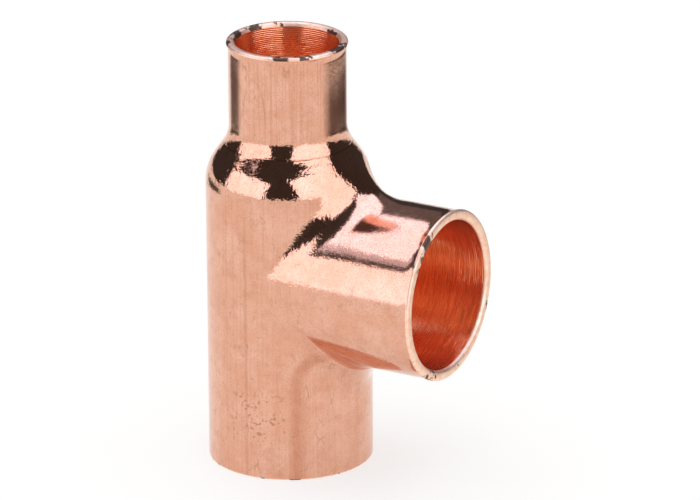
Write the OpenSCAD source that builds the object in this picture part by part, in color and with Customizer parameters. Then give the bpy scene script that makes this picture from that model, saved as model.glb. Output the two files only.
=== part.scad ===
// Reducing tee for capillary soldering, formed from one seamless copper tube.
// The run stands along +Z on the mouth of its large socket, and the branch points along +X.
// The origin is the centre of that mouth. All sizes are in millimetres.
// The copper is one piece. Each node is one zone of it, and the zones meet face to face.

/* [Tubes] */
// Outside diameter of the tube that the run socket and the branch socket take
run_tube_d = 22; // [20:0.5:28]
// Outside diameter of the tube that the reduced socket takes
reduced_tube_d = 15; // [12:0.5:18]
// Gap for the solder between a tube and its socket, on the radius
solder_gap = 0.05; // [0.02:0.01:0.1]

/* [Copper] */
// Wall of the run socket and of the reduced socket
socket_wall = 1.05; // [0.7:0.05:1.5]
// Wall of the branch socket
branch_wall = 1.4; // [0.9:0.05:1.8]
// Height of the ledge that stops a tube at the bottom of its socket
stop_step = 0.35; // [0.2:0.05:0.6]

/* [Sockets] */
// Depth from the mouth of the run socket to its stop
run_socket_depth = 15.4; // [12:0.2:22]
// Depth from the mouth of the branch socket to its stop
branch_socket_depth = 15.4; // [12:0.2:22]
// Depth from the mouth of the reduced socket to its stop
reduced_socket_depth = 10.6; // [8:0.2:16]
// Widening of a socket at its mouth, on the radius
mouth_lead = 0.3; // [0.1:0.05:0.5]
// Length of the widened part of a mouth
lead_length = 0.45; // [0.2:0.05:0.45]
// Length over which the branch and reduced rims flare outward
flare_length = 1.3; // [0.8:0.1:2]
// Outward flare of the branch rim, on the radius
branch_flare = 0.15; // [0:0.05:0.4]
// Outward flare of the reduced rim, on the radius
reduced_flare = 0.25; // [0:0.05:0.4]
// Rounding of the outer edge of the rim at the foot of the run
rim_round = 0.2; // [0.1:0.05:0.3]
// Rounding of the outer edge of the branch and reduced rims
lip_round = 0.4; // [0.1:0.05:0.45]

/* [Body] */
// Distance from the tube stop in the run socket up to the opening of the branch
run_stop_land = 3; // [1.5:0.1:5]
// Distance from the run's inner wall out to the tube stop in the branch
branch_stop_land = 0.7; // [0.5:0.1:2]
// Distance from the top of the branch up to the start of the shoulder
shoulder_land = 1.1; // [0.5:0.1:4]
// Distance from the shoulder up to the tube stop in the reduced socket
reduced_stop_land = 1.8; // [0.8:0.1:4]
// Radius of the fillet in the crotch between run and branch, outside
crotch_r = 5.9; // [2.5:0.1:8]
// Step from the run's inner wall to the narrower passage into the branch, on the radius
throat_step = 0.1; // [0.05:0.05:0.3]
// Radius of the convex bend where the shoulder leaves the run, outside
shoulder_r = 7.3; // [5:0.1:9]
// Radius of the concave bend where the shoulder meets the neck, outside
neck_r = 5.8; // [3:0.1:7]
// Steepest slope of the shoulder, measured from the run's axis
shoulder_angle = 36; // [25:1:45]

/* [Hidden] */
$fn = 96;

// Bores and outsides
run_bore_r = run_tube_d / 2 + solder_gap;
reduced_bore_r = reduced_tube_d / 2 + solder_gap;
run_r = run_bore_r + socket_wall;
branch_r = run_bore_r + branch_wall;
neck_or = reduced_bore_r + socket_wall;
body_wall = socket_wall + stop_step;
body_ir = run_r - body_wall;
neck_ir = neck_or - body_wall;

// Shoulder: two tangent bends with a straight cone between them
shoulder_drop = run_r - neck_or;
slope = min(shoulder_angle, acos(1 - shoulder_drop / (shoulder_r + neck_r)));
cone_length = (shoulder_drop - (shoulder_r + neck_r) * (1 - cos(slope))) / sin(slope);
shoulder_h = (shoulder_r + neck_r) * sin(slope) + cone_length * cos(slope);

// Places along the run and the branch
branch_z = run_socket_depth + run_stop_land + body_ir;
shoulder_z = branch_z + run_r + shoulder_land;
neck_z = shoulder_z + shoulder_h;
reduced_stop_z = neck_z + reduced_stop_land;
top_z = reduced_stop_z + reduced_socket_depth;
branch_stop_x = body_ir + branch_stop_land;
branch_x = branch_stop_x + branch_socket_depth;

// Planes where the zones meet, each just past the end of the crotch fillet
joint_land = 0.4;
fillet_reach = run_r + crotch_r + joint_land;
lower_joint_z = branch_z - fillet_reach;
upper_joint_z = branch_z + fillet_reach;
branch_joint_x = fillet_reach;

over = 1;          // how far a cutting shape runs past the face that it cuts
columns = 40;      // facets across half a turn of the body
fillet_rows = 7;   // facet rows over the crotch fillet
branch_rows = 3;   // facet rows between the crotch and the branch joint
bend_steps = 10;   // flat steps over each bend of the shoulder

// Facet rows from a joint plane to the crotch, as shares of that distance, closer near the plane
run_shares = [1, 0.94, 0.88, 0.82, 0.76, 0.6];
run_rows = len(run_shares);

copper = [0.85, 0.52, 0.38];

// ---- The shoulder's profile ----

// Radius of the shoulder at height z, for a skin that lies depth below the outside
function shoulder_radius(z, depth) =
    let (
        bend = shoulder_r - depth,
        hollow = neck_r + depth,
        up = z - shoulder_z,
        down = neck_z - z
    )
    up <= 0 ? run_r - depth :
    down <= 0 ? neck_or - depth :
    up <= bend * sin(slope) ? run_r - shoulder_r + sqrt(bend * bend - up * up) :
    down <= hollow * sin(slope) ? neck_or + neck_r - sqrt(hollow * hollow - down * down) :
    run_r - shoulder_r + bend * cos(slope) - (up - bend * sin(slope)) * tan(slope);

// Heights from one level to another, at equal steps
function levels(low, high, count) = [for (i = [0:count]) low + (high - low) * i / count];

// Outline of the shoulder's skin from one level to another, for a skin that lies depth below the outside
function shoulder_skin(low, high, depth) =
    [for (z = levels(low, high, 2 * bend_steps)) [shoulder_radius(z, depth), z]];

// ---- The crotch: a ball of radius f rolls between two crossing tubes of radius r ----

// Unit direction a share t of the way round from direction a to direction b
function between(a, b, t) =
    let (turn = acos(min(1, a * b)))
    turn < 0.01 ? a : (sin((1 - t) * turn) * a + sin(t * turn) * b) / sin(turn);

// Point k of the line that comes down the run at angle q, bends over the fillet and leaves along the branch.
// Heights are measured from the branch's axis, and side is 1 above it and -1 below it.
function crotch_point(q, k, side, reach_z) =
    let (
        reach = run_r + crotch_r,
        ball = [reach * cos(q), reach * sin(q), reach * cos(q)],
        to_run = [-cos(q), -sin(q), 0],
        to_branch = [0, -sin(q), -cos(q)],
        foot = reach * cos(q),
        p = k < run_rows ? [run_r * cos(q), run_r * sin(q), foot + (reach_z - foot) * run_shares[k]] :
            k <= run_rows + fillet_rows ?
                ball + crotch_r * between(to_run, to_branch, (k - run_rows) / fillet_rows) :
            let (t = (k - run_rows - fillet_rows) / branch_rows)
                [foot + (branch_joint_x - foot) * t, run_r * sin(q), run_r * cos(q)]
    )
    [p.x, p.y, side * p.z];

// The swage that makes the shoulder narrows everything above its start towards the run's axis
function swaged(p) =
    let (share = shoulder_radius(p.z + branch_z, 0) / run_r)
    [p.x * share, p.y * share, p.z];

// Share of the way from a to b, eased at both ends
function eased(x, a, b) = let (t = min(1, max(0, (x - a) / (b - a)))) t * t * (3 - 2 * t);

// The die opens the branch from the run's radius to its own, starting where column q leaves the run
function opened(p, q) =
    let (share = 1 + (branch_r / run_r - 1) * eased(p.x, run_r * max(0.5, cos(q)), run_r + crotch_r))
    [p.x, p.y * share, p.z * share];

// Outside of the body, as a solid between the three joint planes
module crotch_form() {
    rows = run_rows + fillet_rows + branch_rows + 1;
    per_side = (columns + 1) * rows;
    back_rows = 2 * run_rows + 1;
    reach_z = [upper_joint_z - branch_z, branch_z - lower_joint_z];

    front = [
        for (s = [0, 1]) for (i = [0:columns]) for (k = [0:rows - 1])
            let (q = -90 + 180 * i / columns)
            swaged(opened(crotch_point(q, k, 1 - 2 * s, reach_z[s]), q))
    ];
    // The back half follows the heights of the two side columns, where above and below meet
    side_heights = concat(
        reach_z[0] * run_shares, [0],
        [for (k = [run_rows - 1:-1:0]) -reach_z[1] * run_shares[k]]);
    back = [
        for (j = [0:columns]) for (z = side_heights)
            let (q = 90 + 180 * j / columns)
            swaged([run_r * cos(q), run_r * sin(q), z])
    ];

    // At a side column the fillet shrinks to a point, and the rows below share those above
    function at_side(i) = i == 0 || i == columns;
    function spot(s, i, k) =
        at_side(i) && k >= run_rows ?
            (k <= run_rows + fillet_rows ? i * rows + run_rows : i * rows + k) :
            s * per_side + i * rows + k;
    function back_spot(j, row) =
        j > 0 && j < columns ? 2 * per_side + j * back_rows + row :
        let (i = j == 0 ? columns : 0)
        row <= run_rows ? spot(0, i, row) : spot(1, i, 2 * run_rows - row);

    // A four-sided facet as two triangles, or as one where two of its corners are shared
    function facet(a, b, c, d) = [
        if (a != b && b != c && a != c) [a, b, c],
        if (a != c && c != d && a != d) [a, c, d]
    ];
    upper_faces = [
        for (i = [0:columns - 1]) for (k = [0:rows - 2])
            each facet(spot(0, i, k), spot(0, i + 1, k), spot(0, i + 1, k + 1), spot(0, i, k + 1))
    ];
    lower_faces = [
        for (i = [0:columns - 1]) for (k = [0:rows - 2])
            each facet(spot(1, i, k), spot(1, i, k + 1), spot(1, i + 1, k + 1), spot(1, i + 1, k))
    ];
    back_faces = [
        for (j = [0:columns - 1]) for (row = [0:back_rows - 2])
            each facet(
                back_spot(j, row), back_spot(j + 1, row), back_spot(j + 1, row + 1), back_spot(j, row + 1))
    ];
    top_cap = [
        for (j = [columns - 1:-1:1]) back_spot(j, 0),
        for (i = [columns:-1:0]) spot(0, i, 0)
    ];
    bottom_cap = [
        for (j = [1:columns - 1]) back_spot(j, back_rows - 1),
        for (i = [0:columns]) spot(1, i, 0)
    ];
    branch_cap = [
        for (i = [columns - 1:-1:1]) spot(1, i, rows - 1),
        for (i = [0:columns]) spot(0, i, rows - 1)
    ];

    translate([0, 0, branch_z])
        polyhedron(
            concat(front, back),
            concat(upper_faces, lower_faces, back_faces, [top_cap, bottom_cap, branch_cap]));
}

// ---- Turned zones: the outlines run up the outside and down the inside ----

// Quarter round of a rim's outer edge, from the outside to the end face
function rim_corner(r, end, way, corner) = [
    for (t = levels(0, 90, 4)) [r - corner * (1 - cos(t)), end - way * corner * (1 - sin(t))]
];

// Outside of a flared rim, from the foot of the flare to the end face
function flared_rim(r, flare, end) = concat(
    [for (t = levels(0, 1, 6)) [r + flare * t * t, end - lip_round - flare_length * (1 - t)]],
    [for (p = rim_corner(r + flare, end, 1, lip_round)) if (p.y > end - lip_round) p]);

// Plain socket at the foot of the run
module run_socket() {
    color(copper)
    rotate_extrude()
        polygon(concat(
            [[run_bore_r, lower_joint_z], [run_r, lower_joint_z]],
            rim_corner(run_r, 0, -1, rim_round),
            [[run_bore_r + mouth_lead, 0], [run_bore_r, lead_length]]));
}

// Branch socket outside the crotch, turned about its own axis and laid along +X
module branch_socket() {
    color(copper)
    translate([0, 0, branch_z])
    rotate([0, 90, 0])
    rotate_extrude()
        polygon(concat(
            [[run_bore_r, branch_joint_x], [branch_r, branch_joint_x]],
            flared_rim(branch_r, branch_flare, branch_x),
            [[run_bore_r + mouth_lead, branch_x], [run_bore_r, branch_x - lead_length]]));
}

// Cone between the body and the neck
module reducer_shoulder() {
    color(copper)
    rotate_extrude()
        polygon(concat(
            shoulder_skin(upper_joint_z, neck_z, 0),
            shoulder_skin(neck_z, upper_joint_z, body_wall)));
}

// Neck with the reduced socket and its stop
module reduced_socket() {
    color(copper)
    rotate_extrude()
        polygon(concat(
            [[neck_ir, reduced_stop_z], [neck_ir, neck_z], [neck_or, neck_z]],
            flared_rim(neck_or, reduced_flare, top_z),
            [[reduced_bore_r + mouth_lead, top_z], [reduced_bore_r, top_z - lead_length]],
            [[reduced_bore_r, reduced_stop_z]]));
}

// Centre of the fitting: the crotch, the way into the branch, and the stops of the two large sockets
module tee_body() {
    color(copper)
    difference() {
        crotch_form();
        // Socket at the foot of the run, down to its stop
        translate([0, 0, lower_joint_z - over])
            cylinder(r = run_bore_r, h = run_socket_depth - lower_joint_z + over);
        // Passage up the run, then on under the start of the shoulder
        translate([0, 0, run_socket_depth - over])
            cylinder(r = body_ir, h = shoulder_z - run_socket_depth + over);
        rotate_extrude()
            polygon(concat(
                [[0, upper_joint_z + over], [0, shoulder_z - over], [body_ir, shoulder_z - over]],
                shoulder_skin(shoulder_z, upper_joint_z + over, body_wall)));
        // Passage into the branch, and the branch socket down to its stop
        translate([0, 0, branch_z])
        rotate([0, 90, 0]) {
            cylinder(r = body_ir - throat_step, h = branch_stop_x + over);
            translate([0, 0, branch_stop_x])
                cylinder(r = run_bore_r, h = branch_joint_x - branch_stop_x + over);
        }
    }
}

run_socket();
tee_body();
branch_socket();
reducer_shoulder();
reduced_socket();
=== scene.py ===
from math import cos, pi, radians, sin, sqrt, tan

import bmesh
import bpy
from mathutils import Matrix, Vector


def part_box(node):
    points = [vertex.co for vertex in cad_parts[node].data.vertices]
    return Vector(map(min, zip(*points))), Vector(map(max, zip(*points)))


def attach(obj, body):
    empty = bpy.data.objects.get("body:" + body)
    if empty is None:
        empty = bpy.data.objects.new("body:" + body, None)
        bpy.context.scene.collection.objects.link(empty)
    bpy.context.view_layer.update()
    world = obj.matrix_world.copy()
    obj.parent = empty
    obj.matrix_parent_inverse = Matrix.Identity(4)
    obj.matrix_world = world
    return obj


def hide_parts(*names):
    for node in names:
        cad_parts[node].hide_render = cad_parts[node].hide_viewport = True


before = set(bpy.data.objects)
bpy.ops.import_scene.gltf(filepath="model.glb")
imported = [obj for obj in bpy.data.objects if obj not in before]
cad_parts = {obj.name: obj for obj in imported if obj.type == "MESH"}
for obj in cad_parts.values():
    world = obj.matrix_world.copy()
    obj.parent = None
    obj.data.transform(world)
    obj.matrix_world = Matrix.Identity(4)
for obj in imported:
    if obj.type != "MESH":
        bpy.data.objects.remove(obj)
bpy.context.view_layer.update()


# ---- The copper shell ----
# The whole fitting is one seamless piece of copper tube. A die presses the branch out of the side of
# the tube and swages the top down to the smaller size. Then the ends are cut and the sockets are bored.

mm = 0.001
run_r = 12.1 * mm          # outside of the run
bore_r = 11.05 * mm        # run and branch sockets
passage_r = 10.7 * mm      # waterway behind the tube stops
neck_r = 8.6 * mm          # outside of the reduced socket
neck_bore_r = 7.55 * mm
neck_passage_r = 7.2 * mm
run_stop_z = 15.4 * mm
branch_z = 29.1 * mm
branch_stop_x = 11.4 * mm
branch_r = 12.45 * mm
mouth_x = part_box("branch_socket")[1].x
top_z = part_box("reduced_socket")[1].z
neck_stop_z = top_z - 10.6 * mm
neck_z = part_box("reduced_socket")[0].z
crotch_r = 5.9 * mm        # outside fillet where the branch leaves the run
throat_r = 0.6 * mm        # inside edge of the same opening

shoulder_z = 42.3 * mm     # where the run starts to narrow
shoulder_bend = 7.3 * mm   # convex bend at the foot of the shoulder
neck_bend = 5.8 * mm       # concave bend at its top
shoulder_slope = radians(36)
wall = run_r - passage_r

neck_flare, branch_flare = 0.25 * mm, 0.15 * mm     # how far the ends are belled
flare_length = 1.3 * mm
lip, foot_lip = 0.4 * mm, 0.2 * mm                  # rounding of the ends' outer corners
lead, lead_length = 0.3 * mm, 0.45 * mm             # eased way into each socket
socket_start = 0.6 * mm    # where a socket's plain bore begins, past its lead
stop_edge = 0.04 * mm      # broken edge of the tube stops
plain_tube = 0.4 * mm      # left plain between the crotch and what is drawn on from it
row_spread = 1.3           # crowds the rows of the skin towards the crotch


def shoulder_radius(z, depth=0.0):
    """Radius of the swaged shoulder at height z, for a skin that lies depth below the outside."""
    bend, hollow = shoulder_bend - depth, neck_bend + depth
    up, down = z - shoulder_z, neck_z - z
    if up <= 0:
        return run_r - depth
    if down <= 0:
        return neck_r - depth
    if up <= bend * sin(shoulder_slope):
        return run_r - shoulder_bend + sqrt(bend * bend - up * up)
    if down <= hollow * sin(shoulder_slope):
        return neck_r + neck_bend - sqrt(hollow * hollow - down * down)
    return (run_r - shoulder_bend + bend * cos(shoulder_slope)
            - (up - bend * sin(shoulder_slope)) * tan(shoulder_slope))


def eased(x, a, b):
    """Share of the way from a to b, eased at both ends."""
    t = min(1.0, max(0.0, (x - a) / (b - a)))
    return t * t * (3 - 2 * t)


formed_face, cut_face, bored_face = 0, 1, 2


def pressed_point(q, row, rows, side, depth, fillet, reach_z, reach_x, end_r):
    """Where a line of the skin lies: it comes along the run at angle q, bends over the fillet and leaves
    along the branch. rows holds how many rows go to the run, the fillet and the branch."""
    on_run, on_fillet, on_branch = rows
    r = run_r - depth
    foot = (r + fillet) * cos(q)
    if row <= on_run:
        share = 1 - (row / on_run) ** row_spread
        p = Vector((r * cos(q), r * sin(q), foot + (reach_z - foot) * share))
    elif row <= on_run + on_fillet:
        a = Vector((-cos(q), -sin(q), 0))
        b = Vector((0, -sin(q), -cos(q)))
        turn = a.angle(b, 0)
        t = (row - on_run) / on_fillet
        way = a if turn < 1e-4 else (sin((1 - t) * turn) * a + sin(t * turn) * b) / sin(turn)
        p = Vector((foot, (r + fillet) * sin(q), foot)) + fillet * way
    else:
        t = (row - on_run - on_fillet) / on_branch
        p = Vector((foot + (reach_x - foot) * t, r * sin(q), r * cos(q)))
    # the die opens the branch to its own size
    open_to = 1 + (end_r / r - 1) * eased(p.x, r * max(0.5, cos(q)), r + crotch_r)
    p = Vector((p.x, p.y * open_to, side * p.z * open_to + branch_z))
    # and the swage narrows the run above the shoulder
    share = shoulder_radius(p.z, depth) / r
    return Vector((p.x * share, p.y * share, p.z))


def press_skin(shell, depth, fillet, low_z, high_z, reach_x, end_r, columns, rows):
    """One skin of the pressed body, outside or inside, as two front sheets and one sheet round the back."""
    n = sum(rows)
    high, low = high_z - branch_z, branch_z - low_z
    for side, reach in ((1, high), (-1, low)):
        sheet = bmesh.ops.create_grid(shell, x_segments=columns, y_segments=n, size=0.5)["verts"]
        for v in sheet:
            q = pi * (round((v.co.x + 0.5) * columns) / columns - 0.5)
            row = round((v.co.y + 0.5) * n)
            v.co = pressed_point(q, row, rows, side, depth, fillet, reach, reach_x, end_r)
    on_run = rows[0]
    sheet = bmesh.ops.create_grid(shell, x_segments=columns, y_segments=2 * on_run, size=0.5)["verts"]
    for v in sheet:
        q = pi * (round((v.co.x + 0.5) * columns) / columns + 0.5)
        row = round((v.co.y + 0.5) * 2 * on_run)
        if row <= on_run:
            z = branch_z + high * (1 - (row / on_run) ** row_spread)
        else:
            z = branch_z - low * (1 - ((2 * on_run - row) / on_run) ** row_spread)
        r = shoulder_radius(z, depth)
        v.co = Vector((r * cos(q), r * sin(q), z))
    bmesh.ops.remove_doubles(shell, verts=shell.verts, dist=1e-7)


def ring_at(shell, axis, level):
    """The open edges that lie in the plane across axis (0 for the branch, 2 for the run) at level."""
    return [e for e in shell.edges if len(e.link_faces) == 1
            and all(abs(v.co[axis] - level) < 1e-6 for v in e.verts)]


def draw_on(shell, ring, axis, outline, finish=formed_face):
    """Carries an open ring on along the run or the branch, through each radius and level of an outline."""
    for r, level in outline:
        grown = bmesh.ops.extrude_edge_only(shell, edges=ring)["geom"]
        ring = [g for g in grown if isinstance(g, bmesh.types.BMEdge)]
        for g in grown:
            if isinstance(g, bmesh.types.BMFace):
                g.material_index = finish
        for v in {v for e in ring for v in e.verts}:
            across = Vector((v.co.x, v.co.y, 0)) if axis == 2 else Vector((0, v.co.y, v.co.z - branch_z))
            across *= r / across.length
            v.co = across + (Vector((0, 0, level)) if axis == 2 else Vector((level, 0, branch_z)))
        ring = [e for e in ring if len(e.link_faces) == 1]
    return ring


def levels(a, b, count):
    """Evenly spaced levels after a, up to b."""
    return [a + (b - a) * (i + 1) / count for i in range(count)]


def rim(r, end, way, lip, bore):
    """Outline of a cut end: a rounded outer corner, a flat cut face, and an eased edge into the bore."""
    corner = [(r - lip * (1 - cos(a)), end - way * lip * (1 - sin(a))) for a in levels(0, pi / 2, 6)]
    soft = 0.06 * mm
    inner = bore + lead
    return corner + [
        (inner + soft, end), (inner, end - way * soft * 0.6),
        (bore + lead * 0.3, end - way * lead_length * 0.62), (bore, end - way * lead_length),
        (bore, end - way * (lead_length + 0.1 * mm)),
    ]


shell = bmesh.new()
columns = 96
outer_rows, inner_rows = (36, 22, 14), (36, 6, 3)
join_z = branch_z + run_r + crotch_r + plain_tube
foot_z = branch_z - run_r - crotch_r - plain_tube
join_x = run_r + crotch_r + plain_tube

# outside of the body
press_skin(shell, 0.0, crotch_r, foot_z, join_z, join_x, branch_r, columns, outer_rows)

# the crotch dies out softly on both sides of the run
for side in (-1, 1):
    end = Vector((0, side * run_r, branch_z))
    for reach, passes in ((3 * mm, 16), (1.8 * mm, 24)):
        near = [v for v in shell.verts if (v.co - end).length < reach]
        for _ in range(passes):
            bmesh.ops.smooth_vert(shell, verts=near, factor=0.5,
                                  use_axis_x=True, use_axis_y=True, use_axis_z=True)


def belled(r, flare, end):
    """Outline of an end that opens slightly, up to where its lip starts to round over."""
    return [(r + flare * t * t, end - lip - flare_length * (1 - t)) for t in levels(0, 1, 8)]


# outside of the shoulder and the neck, then its slightly belled rim and its bored socket
ring = draw_on(shell, ring_at(shell, 2, join_z), 2,
               [(shoulder_radius(z), z) for z in levels(join_z, neck_z, 30)]
               + [(neck_r, z) for z in levels(neck_z, top_z - lip - flare_length, 8)]
               + belled(neck_r, neck_flare, top_z))
ring = draw_on(shell, ring, 2, rim(neck_r + neck_flare, top_z, 1, lip, neck_bore_r), cut_face)
socket = [(neck_bore_r, z) for z in levels(top_z - socket_start, neck_stop_z, 16)]
ring = draw_on(shell, ring, 2, socket, bored_face)
stop = [(neck_passage_r + stop_edge, neck_stop_z), (neck_passage_r, neck_stop_z - stop_edge)]
draw_on(shell, ring, 2, stop, bored_face)

# outside of the branch, with its rim and its socket
ring = draw_on(shell, ring_at(shell, 0, join_x), 0,
               [(branch_r, x) for x in levels(join_x, mouth_x - lip - flare_length, 10)]
               + belled(branch_r, branch_flare, mouth_x))
ring = draw_on(shell, ring, 0, rim(branch_r + branch_flare, mouth_x, 1, lip, bore_r), cut_face)
draw_on(shell, ring, 0, [(bore_r, x) for x in levels(mouth_x - socket_start, branch_stop_x, 20)], bored_face)

# outside of the foot of the run, with its rim and its socket
ring = draw_on(shell, ring_at(shell, 2, foot_z), 2, [(run_r, z) for z in levels(foot_z, foot_lip, 8)])
ring = draw_on(shell, ring, 2, rim(run_r, 0.0, -1, foot_lip, bore_r), cut_face)
draw_on(shell, ring, 2, [(bore_r, z) for z in levels(socket_start, run_stop_z, 16)], bored_face)

# inside of the body and of the shoulder, which the stops close off from the sockets
inside = bmesh.new()
press_skin(inside, wall, throat_r, run_stop_z + stop_edge, join_z, branch_stop_x, passage_r,
           columns, inner_rows)
draw_on(inside, ring_at(inside, 2, join_z), 2,
        [(shoulder_radius(z, wall), z) for z in levels(join_z, neck_z, 30)]
        + [(neck_passage_r, neck_stop_z - stop_edge)])
for f in inside.faces:
    f.material_index = bored_face
inner_mesh = bpy.data.meshes.new("inside")
inside.to_mesh(inner_mesh)
inside.free()
shell.from_mesh(inner_mesh)
bpy.data.meshes.remove(inner_mesh)
near_stop = 0.05 * mm      # reaches both edges of a tube stop
for axis, level in ((0, branch_stop_x), (2, run_stop_z)):
    near = [e for e in shell.edges if len(e.link_faces) == 1
            and all(abs(v.co[axis] - level) < near_stop for v in e.verts)]
    for f in bmesh.ops.bridge_loops(shell, edges=near)["faces"]:
        f.material_index = bored_face
bmesh.ops.remove_doubles(shell, verts=shell.verts, dist=1e-6)
bmesh.ops.recalc_face_normals(shell, faces=shell.faces)

copper_tee = bpy.data.objects.new("copper_tee", bpy.data.meshes.new("copper_tee"))
bpy.context.collection.objects.link(copper_tee)
for f in shell.faces:
    f.smooth = True
shell.to_mesh(copper_tee.data)
shell.free()
copper_tee.data.set_sharp_from_angle(angle=radians(40))
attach(copper_tee, "root")
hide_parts("run_socket", "tee_body", "branch_socket", "reducer_shoulder", "reduced_socket")


# Its finish: pressing and swaging leave the outside bright but slightly rumpled, with draw lines along
# the tube. Boring leaves rings in the sockets. The cut ends are bright, with dark scale in patches.
class Tone:
    """One output of a finish's nodes. Arithmetic on it adds Math nodes, and make adds any other node."""

    def __init__(self, socket):
        self.socket = socket

    def make(self, kind, settings, inputs, out=0):
        """A new node of one kind. Its settings are made before its inputs."""
        node = self.socket.id_data.nodes.new(kind)
        for name, value in settings.items():
            setattr(node, name, value)
        for name, value in inputs.items():
            if isinstance(value, Tone):
                node.id_data.links.new(value.socket, node.inputs[name])
            else:
                node.inputs[name].default_value = value
        return Tone(node.outputs[out])

    def math(self, operation, other=0.0):
        """This tone through a Math node, alone or with another tone or number."""
        return self.make("ShaderNodeMath", {"operation": operation}, {0: self, 1: other})

    def __add__(self, other):
        return self.math("ADD", other)

    def __radd__(self, other):
        return self.math("ADD", other)

    def __sub__(self, other):
        return self.math("SUBTRACT", other)

    def __rsub__(self, other):
        return self.make("ShaderNodeMath", {"operation": "SUBTRACT"}, {0: other, 1: self})

    def __mul__(self, other):
        return self.math("MULTIPLY", other)

    def __rmul__(self, other):
        return self.math("MULTIPLY", other)

    def __abs__(self):
        return self.math("ABSOLUTE")

    def rise(self, low, high):
        """0 below low and 1 above high, eased between them."""
        return self.make("ShaderNodeMapRange", {"interpolation_type": "SMOOTHSTEP"},
                         {"Value": self, "From Min": low, "From Max": high})

    def stretched(self, x, y, z):
        """These coordinates, scaled along each axis."""
        return self.make("ShaderNodeVectorMath", {"operation": "MULTIPLY"}, {0: self, 1: (x, y, z)})

    def noise(self, scale, detail=2.0, rough=0.5):
        """Noise over these coordinates, about 0.5."""
        return self.make("ShaderNodeTexNoise", {},
                         {"Vector": self, "Scale": scale, "Detail": detail, "Roughness": rough})

    def mixed(self, a, b):
        """Colour a where this is 0 and colour b where it is 1, through the Mix node's colour sockets."""
        return self.make("ShaderNodeMix", {"data_type": "RGBA"}, {0: self, 6: a, 7: b}, 2)

    def relief(self, depth):
        """The surface's direction, with this as its height, for a relief of about this depth."""
        return self.make("ShaderNodeBump", {}, {"Height": self, "Distance": depth, "Strength": 1.0})


def start_finish(name):
    """A new metal finish: its shader, and the coordinates of a point on the fitting."""
    finish = bpy.data.materials.new(name)
    finish.use_nodes = True
    nodes = finish.node_tree.nodes
    shader = nodes["Principled BSDF"]
    shader.inputs["Metallic"].default_value = 1
    place = Tone(nodes.new("ShaderNodeTexCoord").outputs["Object"])
    copper_tee.data.materials.append(finish)
    return shader, place


def put(shader, name, tone):
    """Feeds a tone into one of the shader's sockets."""
    shader.id_data.links.new(tone.socket, shader.inputs[name])


def axes(place):
    """The three coordinates in millimetres."""
    split = place.make("ShaderNodeSeparateXYZ", {}, {0: place}).socket.node
    return [Tone(split.outputs[i]) * (1 / mm) for i in range(3)]


# formed copper, outside
copper, pale_copper = (0.775, 0.4, 0.27, 1), (0.83, 0.47, 0.34, 1)
stained_copper, brown_mark, soot = (0.62, 0.27, 0.165, 1), (0.5, 0.22, 0.12, 1), (0.36, 0.2, 0.15, 1)
shader, place = start_finish("formed_copper")
x, y, z = axes(place)
turn = y.math("ARCTAN2", x) * (180 / pi)
on_branch = x.rise(9, 16)
upper_branch = on_branch * z.rise(26, 38)
swaged = z.rise(41.8, 43.5)
on_neck = z.rise(49, 53)
on_shoulder = swaged * (1 - on_neck)


def mark(centre_turn, centre_z, across, tall, thin):
    """A faint round mark on the run or the neck: 1 on its line and 0 away from it."""
    u = (turn - centre_turn) * (1 / across)
    v = (z - centre_z) * (1 / tall)
    return 1 - abs((u * u + v * v).math("SQRT") - 1).rise(0, thin)


rumple = place.noise(800, 3.0, 0.6)
ripple = place.noise(2100, 2.0, 0.5)
draw_lines = place.stretched(3200, 3200, 45).noise(1.0, 3.0, 0.6)
broad_lines = place.stretched(260, 260, 7).noise(1.0, 3.0)
grain = place.noise(5200, 2.0, 0.7)
tool_rings = place.stretched(110, 110, 4200).noise(1.0, 1.0)
scratch = place.stretched(620, 380, 210).noise(1.0, 1.0)
scratch = 1 - abs(scratch - 0.5).rise(0.0, 0.016)
scratch = scratch * place.noise(330, 1.0).rise(0.53, 0.62)

# a darker band below the crotch, the die's split line, pits low on the run, the fold where the
# swage ends, and faint round marks
low = (z - 14.8).math("MAXIMUM", 0.0)
off = (turn + 34) * 0.21
band = 1 - abs((off * off + low * low).math("SQRT") - 4.5).rise(0.2, 1.5)
band = band * (1 - turn.rise(-38, -32)) * turn.rise(-66, -60) * (1 - z.rise(18, 21))
split = (1 - abs(turn + 91.8).rise(0.3, 1.6)) * (1 - z.rise(38, 43))
pitted = z.rise(4, 7) * (1 - z.rise(11, 15)) * turn.rise(-110, -100) * (1 - turn.rise(-68, -58))
pits = place.noise(1500, 2.0).rise(0.54, 0.62) * pitted * place.noise(420, 1.0).rise(0.44, 0.54)
fold = (1 - abs(z - 48.5).rise(0.04, 0.16)) * place.noise(110, 1.0).rise(0.4, 0.52)
round_marks = mark(-124, 29.5, 15, 2.4, 0.12) + mark(-95, 53.5, 13, 6.5, 0.1)
round_marks = round_marks * place.noise(140, 2.0).rise(0.42, 0.56)

mottle = place.noise(170, 5.0, 0.65).rise(0.36, 0.64)
tint = mottle.mixed(copper, pale_copper)
stain = place.noise(480, 5.0, 0.72).rise(0.45, 0.7) * 0.4
stain = stain + broad_lines.rise(0.5, 0.72) * 0.26 * (1 - on_branch)
lines = draw_lines.rise(0.48, 0.68) * (1 - on_branch) * (0.28 + on_neck * 0.22)
stain = stain + grain.rise(0.48, 0.66) * 0.36 + lines
tint = (stain * 0.85 + band * 0.6).mixed(tint, stained_copper)
marks = round_marks * 0.45 + pits * 0.8 + split * 0.3 + scratch * 0.5 + fold * 0.7
tint = marks.mixed(tint, brown_mark)
sooty = grain.rise(0.47, 0.62) * (upper_branch * 0.45 + 0.05)
sooty = sooty + place.noise(5200, 1.0).rise(0.6, 0.7) * on_shoulder * 0.35
put(shader, "Base Color", sooty.mixed(tint, soot))

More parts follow.
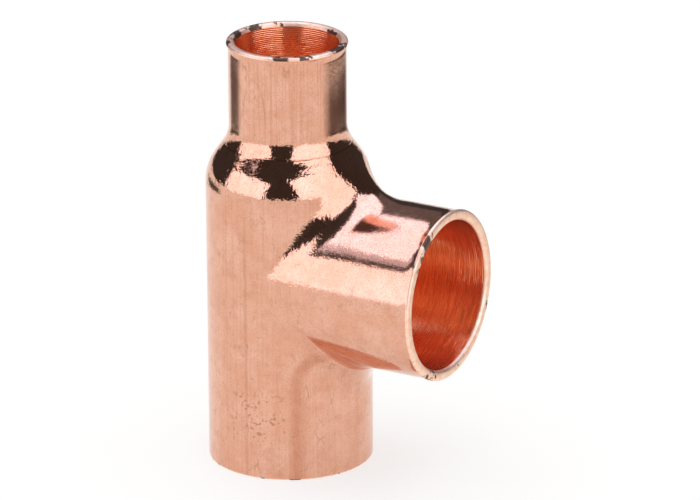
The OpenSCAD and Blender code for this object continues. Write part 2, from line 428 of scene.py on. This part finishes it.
dull = 0.075 + upper_branch * 0.03 + (grain - 0.5) * (0.12 - on_shoulder * 0.1)
dull = dull - on_shoulder * 0.035 + on_neck * 0.05
put(shader, "Roughness", dull + mottle * 0.04)

# its relief: rumples from the dies, grain, draw lines, and the marks above
body_top = z.rise(24, 34) * (1 - swaged) * (1 - on_branch) * x.rise(-6, 3)
height = (rumple - 0.5) * (0.6 - on_neck * 0.25 + on_shoulder * 1.9 + body_top * 1.9 + on_branch * 0.15)
height = height + (ripple - 0.5) * (0.1 + on_shoulder * 0.28 + body_top * 0.3)
height = height + (grain - 0.5) * (0.05 - on_shoulder * 0.04 + upper_branch * 0.14)
drawn = (draw_lines - 0.5) * 0.2 * (1 - swaged * 0.6) + (broad_lines - 0.5) * 0.7
height = height + drawn * (1 - on_branch)
height = height + (tool_rings - 0.5) * 0.08 * on_shoulder
height = height - fold * 0.5 - pits * 0.6 - split * 0.2 - scratch * 0.12 - round_marks * 0.08
put(shader, "Normal", height.relief(0.026 * mm))

# cut copper, on the three ends: bright from the cutter, with dark scale left in patches
fresh_cut, warm_cut, oxide = (0.99, 0.72, 0.55, 1), (0.95, 0.58, 0.4, 1), (0.13, 0.075, 0.055, 1)
shader, place = start_finish("cut_copper")
on_branch = axes(place)[0].rise(18, 20)
scale_left = place.noise(190, 4.0, 0.65) + (place.noise(1500, 3.0) - 0.5) * 0.3
scale_left = scale_left - on_branch * 0.075
nick = place.noise(1400, 3.0)
tint = nick.rise(0.35, 0.7).mixed(fresh_cut, warm_cut)
put(shader, "Base Color", scale_left.rise(0.535, 0.575).mixed(tint, oxide))
put(shader, "Roughness", 0.42 + nick * 0.1)
put(shader, "Normal", nick.relief(0.04 * mm))

# bored copper, inside: rings from the cutter, with darker streaks round the bore of the branch
ring_pitch = 0.29          # mm
deep_bore, red_bore = (0.95, 0.44, 0.225, 1), (0.9, 0.36, 0.16, 1)
dark_streak, ring_shine = (0.72, 0.24, 0.1, 1), (1.0, 0.62, 0.4, 1)
shader, place = start_finish("bored_copper")
x, y, z = axes(place)
in_branch = x.rise(11.1, 11.3)
along = z + (x - z) * in_branch
wobble = place.noise(260, 2.0) * 5 + place.noise(1500, 1.0) * 1.6
cut_rings = (along * (2 * pi / ring_pitch) + wobble).math("SINE") * 0.5 + 0.5
fine_rings = along.make("ShaderNodeCombineXYZ", {}, {0: x * 0.3, 1: y * 0.3, 2: along * 9})
fine_rings = fine_rings.noise(1.0, 2.0)
patina = place.noise(130, 4.0).rise(0.3, 0.7)
tint = patina.mixed(deep_bore, red_bore)
streaks = x.make("ShaderNodeCombineXYZ", {}, {0: x * 3.4, 1: y * 0.25, 2: z * 0.25})
streaks = streaks.noise(1.0, 2.0, 0.6)
ring_tone = cut_rings * (0.28 + in_branch * 0.12) + fine_rings.rise(0.5, 0.7) * 0.3
tint = (streaks.rise(0.42, 0.6) * in_branch * 0.6).mixed(tint, dark_streak)
put(shader, "Base Color", ring_tone.mixed(tint, ring_shine))
put(shader, "Roughness", 0.09 + fine_rings * 0.13)
shader.inputs["Metallic"].default_value = 0.92
height = cut_rings * 0.75 + fine_rings * 0.4 + streaks * in_branch * 0.8
put(shader, "Normal", height.relief(0.04 * mm))


# ---- The table ----
# A plain opal table top, lit from below so that shadows on it stay faint. The fitting stands on it,
# and its upright walls mirror it.
table_mesh = bmesh.new()
bmesh.ops.create_grid(table_mesh, x_segments=1, y_segments=1, size=0.9)
table = bpy.data.objects.new("table", bpy.data.meshes.new("table"))
bpy.context.collection.objects.link(table)
table_mesh.to_mesh(table.data)
table_mesh.free()
white = bpy.data.materials.new("white_table")
white.use_nodes = True
opal = white.node_tree.nodes["Principled BSDF"].inputs
opal["Base Color"].default_value = (0.38, 0.38, 0.38, 1)
opal["Roughness"].default_value = 0.6
opal["Specular IOR Level"].default_value = 0.0
opal["Emission Color"].default_value = (1, 1, 1, 1)
opal["Emission Strength"].default_value = 0.69
table.data.materials.append(white)


# ---- The studio's light ----
# Large softboxes stand left and right of the camera, with a cool strip above the left one, a faint glow
# behind, one box hung level overhead and one fill for the table. Two low dark screens stand beside and
# behind the fitting. The room is dim, and bare copper mirrors it all as bright windows with dark gaps.
front = radians(-59.62)    # direction of the camera, about the run
aim_z = 0.04               # what the softboxes face


def softbox(name, turn, height, distance, wide, tall, glow, tint=(1, 1, 1)):
    """A soft light that faces the fitting. turn is to the right of the camera and height is above the
    table, both in degrees. Only reflections show it."""
    way = Vector((cos(front + radians(turn)) * cos(radians(height)),
                  sin(front + radians(turn)) * cos(radians(height)), sin(radians(height))))
    light = bpy.data.lights.new(name, "AREA")
    light.shape = "RECTANGLE"
    light.size, light.size_y = wide, tall
    light.energy = glow * pi * wide * tall
    light.color = tint
    lamp = bpy.data.objects.new(name, light)
    stand = Matrix.Translation(way * distance + Vector((0, 0, aim_z)))
    lamp.matrix_world = stand @ way.to_track_quat("Z", "Y").to_matrix().to_4x4()
    lamp.visible_camera = lamp.visible_diffuse = False
    bpy.context.collection.objects.link(lamp)
    return lamp


warm_white, cool_white = (1, 1, 1.14), (1, 1.04, 1.34)
softbox("left_softbox", -65, 14, 1.6, 1.92, 1.29, 1.75, warm_white)
softbox("right_softbox", 44, 22, 1.6, 2.08, 1.7, 1.8, warm_white)
softbox("left_strip", -78, 46.5, 1.6, 0.6, 0.25, 0.8, cool_white)
softbox("back_glow", 180, 30, 1.6, 1.5, 0.7, 0.11, (1, 0.95, 1.05))
overhead = softbox("overhead_softbox", 180, 72, 1.05, 1.68, 1.22, 1.85, cool_white)
overhead_back, overhead_z = 0.33, 1.04     # hung level, behind the fitting's axis
overhead.matrix_world = (
    Matrix.Translation((-cos(front) * overhead_back, -sin(front) * overhead_back, overhead_z))
    @ Matrix.Rotation(front + pi / 2, 4, "Z"))
# the fill is the other way round: it lights the table, and no reflection shows it
fill = softbox("table_fill", 0, 90, 1.3, 2.4, 2.4, 1.65)
fill.visible_glossy = False
fill.visible_diffuse = True


def shade(name, start, end, distance, low, high, depth):
    """A curved standing screen that fades out at its edges and shows only in the copper. start and end
    are to the right of the camera, in degrees."""
    screen = bmesh.new()
    a = front + radians(start)
    post = [screen.verts.new((cos(a) * distance, sin(a) * distance, h)) for h in (low, high)]
    edge = screen.edges.new(post)
    bmesh.ops.spin(screen, geom=[edge, *post], cent=(0, 0, 0), axis=(0, 0, 1),
                   angle=radians(end - start), steps=24)
    sheet = bpy.data.objects.new(name, bpy.data.meshes.new(name))
    bpy.context.collection.objects.link(sheet)
    screen.to_mesh(sheet.data)
    screen.free()
    cloth = bpy.data.materials.new(name)
    cloth.use_nodes = True
    weave = cloth.node_tree.nodes["Principled BSDF"]
    weave.inputs["Base Color"].default_value = (0.1, 0.09, 0.085, 1)
    weave.inputs["Roughness"].default_value = 0.9
    at = Tone(cloth.node_tree.nodes.new("ShaderNodeTexCoord").outputs["Object"])
    level = axes(at)[2] * mm
    middle = radians((start + end) / 2) + front
    ahead = at.make("ShaderNodeVectorMath", {"operation": "DOT_PRODUCT"},
                    {0: at, 1: (cos(middle) / distance, sin(middle) / distance, 0)}, 1)
    inside = ahead.rise(cos(radians((end - start) / 2)), cos(radians((end - start) / 5)))
    fade = (high - low) * 0.3
    inside = inside * level.rise(low, low + fade) * (1 - level.rise(high - fade, high))
    put(weave, "Alpha", inside * depth)
    sheet.data.materials.append(cloth)
    sheet.visible_camera = sheet.visible_diffuse = sheet.visible_shadow = False


shade("right_screen", 66, 168, 0.13, 0.002, 0.022, 1.05)
shade("left_screen", -148, -100, 0.13, 0.002, 0.026, 1.0)

# the room is white to look at and dim in reflections
room = bpy.data.worlds.new("room")
room.use_nodes = True
dim, plain_white = (0.05, 0.047, 0.045, 1), (1, 1, 1, 1)
looked_at = Tone(room.node_tree.nodes.new("ShaderNodeLightPath").outputs["Is Camera Ray"])
put(room.node_tree.nodes["Background"], "Color", looked_at.mixed(dim, plain_white))
bpy.context.scene.world = room
bpy.context.scene.view_settings.view_transform = "Standard"
bpy.context.scene.cycles.max_bounces = 16
bpy.context.scene.cycles.glossy_bounces = 14


# ---- Camera ----
# A long lens, a little above the fitting, with the branch pointing right and towards it.
azimuth, elevation, distance = radians(30.38), radians(20.214), 1.0
aim_height = 0.032
down, pan, roll = radians(0.0385), radians(0.508), radians(-0.596)
right = Vector((cos(azimuth), sin(azimuth), 0))
level_ahead = Vector((-sin(azimuth), cos(azimuth), 0))
ahead = level_ahead * cos(elevation + down) - Vector((0, 0, sin(elevation + down)))
up = right.cross(ahead)
ahead, right = ahead * cos(pan) + right * sin(pan), right * cos(pan) - ahead * sin(pan)
right, up = right * cos(roll) + up * sin(roll), up * cos(roll) - right * sin(roll)
camera = bpy.data.objects.new("camera", bpy.data.cameras.new("camera"))
camera.data.sensor_width = 36
camera.data.lens = 352.44
camera.data.clip_start = 0.01
camera.matrix_world = Matrix((
    (right.x, up.x, -ahead.x, distance * cos(elevation) * sin(azimuth)),
    (right.y, up.y, -ahead.y, -distance * cos(elevation) * cos(azimuth)),
    (right.z, up.z, -ahead.z, distance * sin(elevation) + aim_height),
    (0, 0, 0, 1)))
bpy.context.collection.objects.link(camera)
bpy.context.scene.camera = camera
